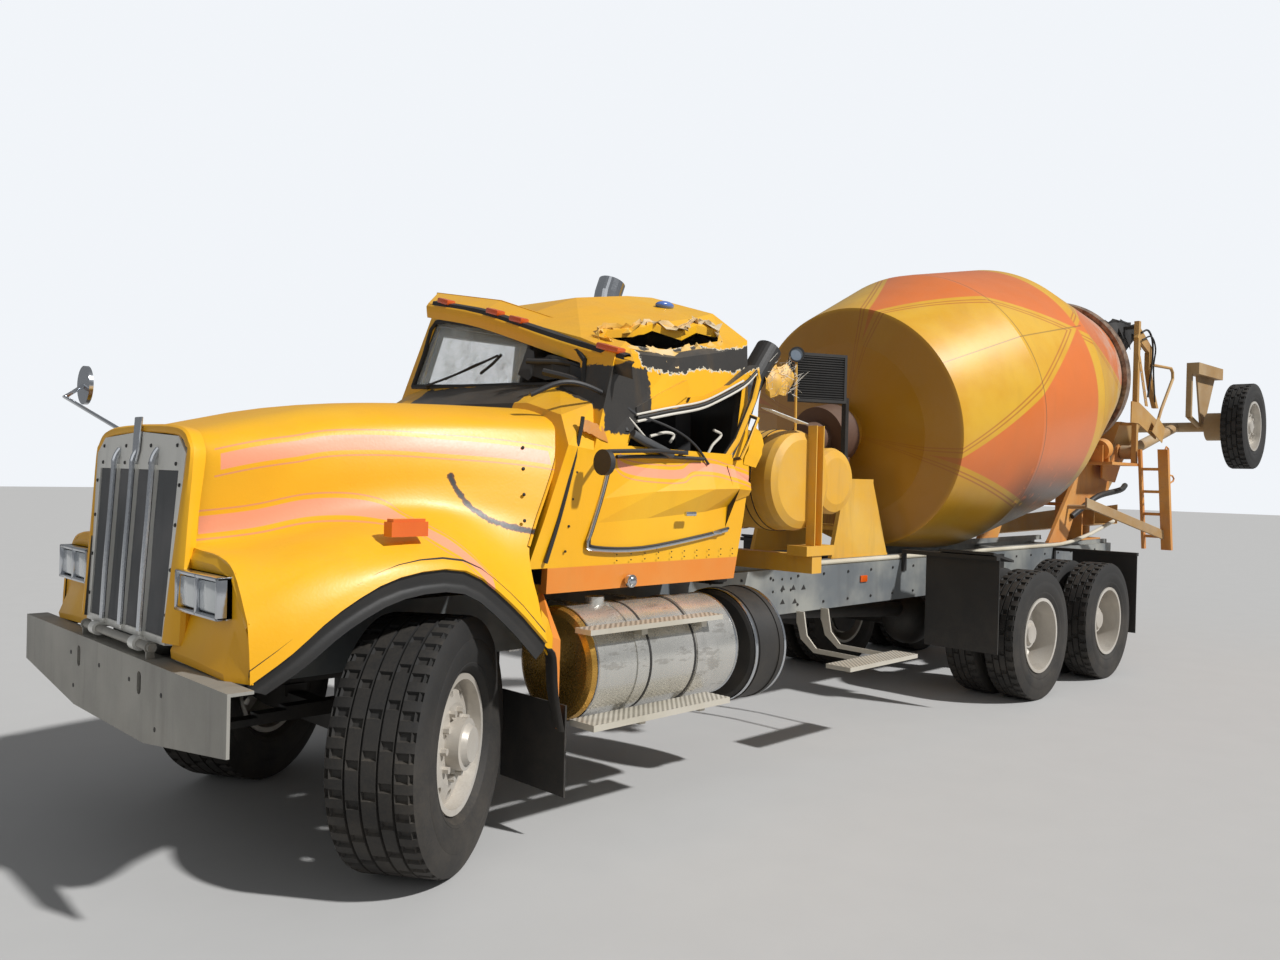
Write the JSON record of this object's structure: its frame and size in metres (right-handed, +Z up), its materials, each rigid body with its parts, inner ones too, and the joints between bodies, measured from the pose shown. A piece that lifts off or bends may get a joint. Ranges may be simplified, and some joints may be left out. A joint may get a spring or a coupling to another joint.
{
  "type": "concrete mixer truck with a damaged cab",
  "caption": "Long-bonnet concrete mixer truck with a crushed cab, tilted drum, rear chute and raised booster axle; wheels, steering, drum, bonnet, door, chute and booster move.",
  "frame": {"origin": "on the ground, under the middle of the truck's overall box", "axes": "+X forward, +Y to the truck's left, +Z up"},
  "size_m": [12.9549, 2.7029, 3.7239],
  "materials": {
    "amber_lens": "amber lens",
    "black_frame": "worn black chassis paint",
    "black_tank": "gloss black",
    "black_trim": "black",
    "booster_steel": "rusty brown with yellow",
    "bright_trim": "bright",
    "bumper_steel": "weathered grey paint",
    "cab_trim": "black trim",
    "flap_rubber": "dusty black",
    "grille_surround": "satin",
    "hose_rubber": "pale dusty",
    "orange_paint": "worn orange",
    "rim_paint": "white, rusty nuts",
    "tank_aluminium": "dulled polish",
    "tyre": "worn, dusty",
    "window_glass": "clear",
    "yellow_paint": "gloss yellow with orange stripes, worn"
  },
  "bodies": {
    "truck": {"frame_rails": "black_frame", "bumper": "bumper_steel", "engine_block": "black_frame", "front_axle": "black_frame", "rear_drive_line": "black_frame", "fuel_tanks": "tank_aluminium", "side_steps": "tank_aluminium", "round_tank": "black_tank", "mud_flaps": "flap_rubber", "cab_shell": "yellow_paint", "left_door": "yellow_paint", "cab_glass": "window_glass", "cab_interior": "cab_trim", "left_mirror": "black_trim", "exhaust_stack": "black_trim", "right_stack": "bright_trim", "water_tank": "yellow_paint", "front_pedestal": "yellow_paint", "drum_gearbox": "black_frame", "oil_cooler": "black_frame", "rear_pedestal": "orange_paint", "hopper_frame": "yellow_paint", "hopper": "black_frame", "collector": "yellow_paint", "rear_ladder": "orange_paint", "pressure_hose": "hose_rubber"},
    "bonnet": {"hood": "yellow_paint", "grille": "grille_surround", "headlamps": "bright_trim", "turn_lamps": "amber_lens", "fender_flares": "flap_rubber", "hood_mirror": "black_trim"},
    "right_door_body": {"right_door": "yellow_paint", "right_door_glass": "window_glass"},
    "knuckle_left_body": {"knuckle_left": "black_frame"},
    "knuckle_right_body": {"knuckle_right": "black_frame"},
    "front_wheel_left": {"front_tyre_left": "tyre", "front_rim_left": "rim_paint"},
    "front_wheel_right": {"front_tyre_right": "tyre", "front_rim_right": "rim_paint"},
    "rear_wheels_1_left": {"rear_tyres_1_left": "tyre", "rear_rims_1_left": "rim_paint"},
    "rear_wheels_1_right": {"rear_tyres_1_right": "tyre", "rear_rims_1_right": "rim_paint"},
    "rear_wheels_2_left": {"rear_tyres_2_left": "tyre", "rear_rims_2_left": "rim_paint"},
    "rear_wheels_2_right": {"rear_tyres_2_right": "tyre", "rear_rims_2_right": "rim_paint"},
    "drum_body": {"drum": "yellow_paint"},
    "chute_body": {"chute": "yellow_paint"},
    "booster_frame": {"booster_arm": "booster_steel"},
    "booster_wheel_left": {"booster_tyre_left": "tyre", "booster_rim_left": "rim_paint"},
    "booster_wheel_right": {"booster_tyre_right": "tyre", "booster_rim_right": "rim_paint"}
  },
  "joints": [
    {"name": "bonnet_tilt", "type": "hinge", "parent": "truck", "child": "bonnet", "pos_m": [6.4425, -0.01641, 0.985], "axis": [0, 1, 0], "range_deg": [0, 55]},
    {"name": "right_door_swing", "type": "hinge", "parent": "truck", "child": "right_door_body", "pos_m": [4.6175, -1.01341, 1.5], "axis": [0, 0, 1], "range_deg": [0, 65]},
    {"name": "steer_left", "type": "hinge", "parent": "truck", "child": "knuckle_left_body", "pos_m": [5.4675, 0.91359, 0.55], "axis": [0, 0, 1], "range_deg": [-68, 0]},
    {"name": "steer_right", "type": "hinge", "parent": "truck", "child": "knuckle_right_body", "pos_m": [5.4675, -0.94641, 0.55], "axis": [0, 0, 1], "range_deg": [-57.8, 0]},
    {"name": "front_left_spin", "type": "hinge", "parent": "knuckle_left_body", "child": "front_wheel_left", "pos_m": [5.4675, 0.91359, 0.55], "axis": [-0.5736, 0.8192, 0], "continuous": true},
    {"name": "front_right_spin", "type": "hinge", "parent": "knuckle_right_body", "child": "front_wheel_right", "pos_m": [5.4675, -0.94641, 0.55], "axis": [-0.5, 0.866, 0], "continuous": true},
    {"name": "rear_1_left_spin", "type": "hinge", "parent": "truck", "child": "rear_wheels_1_left", "pos_m": [-0.0865, 0.89959, 0.515], "axis": [0, 1, 0], "continuous": true},
    {"name": "rear_1_right_spin", "type": "hinge", "parent": "truck", "child": "rear_wheels_1_right", "pos_m": [-0.0865, -0.93241, 0.515], "axis": [0, 1, 0], "continuous": true},
    {"name": "rear_2_left_spin", "type": "hinge", "parent": "truck", "child": "rear_wheels_2_left", "pos_m": [-1.4805, 0.89959, 0.515], "axis": [0, 1, 0], "continuous": true},
    {"name": "rear_2_right_spin", "type": "hinge", "parent": "truck", "child": "rear_wheels_2_right", "pos_m": [-1.4805, -0.93241, 0.515], "axis": [0, 1, 0], "continuous": true},
    {"name": "drum_spin", "type": "hinge", "parent": "truck", "child": "drum_body", "pos_m": [2.4675, -0.01641, 1.83], "axis": [0.9821, 0, -0.1882], "continuous": true},
    {"name": "chute_swing", "type": "hinge", "parent": "truck", "child": "chute_body", "pos_m": [-3.9325, -0.01641, 1.25], "axis": [0, 0, -1], "range_deg": [0, 158]},
    {"name": "booster_lift", "type": "hinge", "parent": "truck", "child": "booster_frame", "pos_m": [-3.6425, -0.01641, 2.09], "axis": [0, -1, 0], "range_deg": [0, 51]},
    {"name": "booster_left_spin", "type": "hinge", "parent": "booster_frame", "child": "booster_wheel_left", "pos_m": [-5.9625, 1.06109, 2.48], "axis": [0, 1, 0], "continuous": true},
    {"name": "booster_right_spin", "type": "hinge", "parent": "booster_frame", "child": "booster_wheel_right", "pos_m": [-5.9625, -1.09391, 2.48], "axis": [0, 1, 0], "continuous": true}
  ],
  "couplings": [
    {"joint": "steer_right", "follows": "steer_left", "ratio": 0.85}
  ]
}
